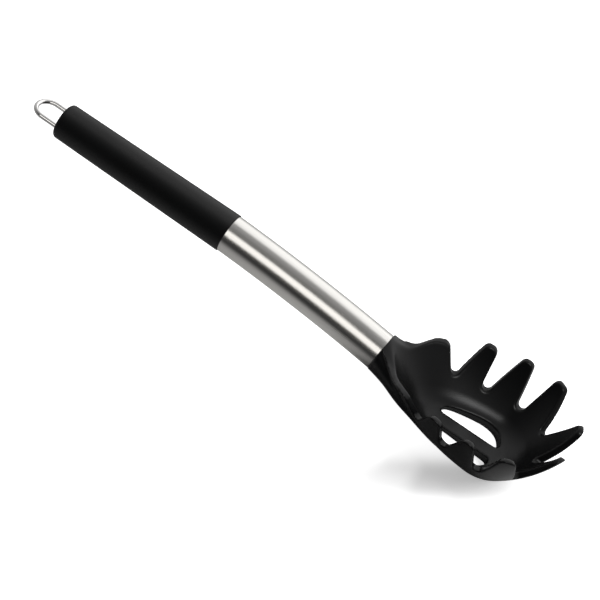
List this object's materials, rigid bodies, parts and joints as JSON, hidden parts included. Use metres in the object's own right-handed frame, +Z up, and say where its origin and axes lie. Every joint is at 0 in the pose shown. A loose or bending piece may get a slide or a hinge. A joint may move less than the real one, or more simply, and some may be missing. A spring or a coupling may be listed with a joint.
{
  "type": "pasta server",
  "caption": "Long-handled pasta server: a slotted claw bowl on a bent steel tube with a soft grip and a wire hanging loop.",
  "frame": {"origin": "middle of the part's length and width, on the table it lies on with the open side of the bowl up", "axes": "+X from the hanging loop to the claws, +Z up out of the bowl, mirror image about the plane Y = 0"},
  "size_m": [0.3198, 0.0792, 0.0404],
  "materials": {
    "head_plastic": "satin black nylon with a soft sheen",
    "core_plastic": "dark grey glass-filled nylon",
    "brushed_tube": "stainless steel brushed along the tube",
    "grip_rubber": "soft matte black",
    "plug_plastic": "matte black",
    "polished_wire": "polished stainless wire"
  },
  "bodies": {
    "root": {"head": "head_plastic", "head_core": "core_plastic", "handle_tube": "brushed_tube", "grip_core": "core_plastic", "grip_sleeve": "grip_rubber", "end_plug": "plug_plastic", "hanging_loop": "polished_wire"}
  },
  "joints": []
}
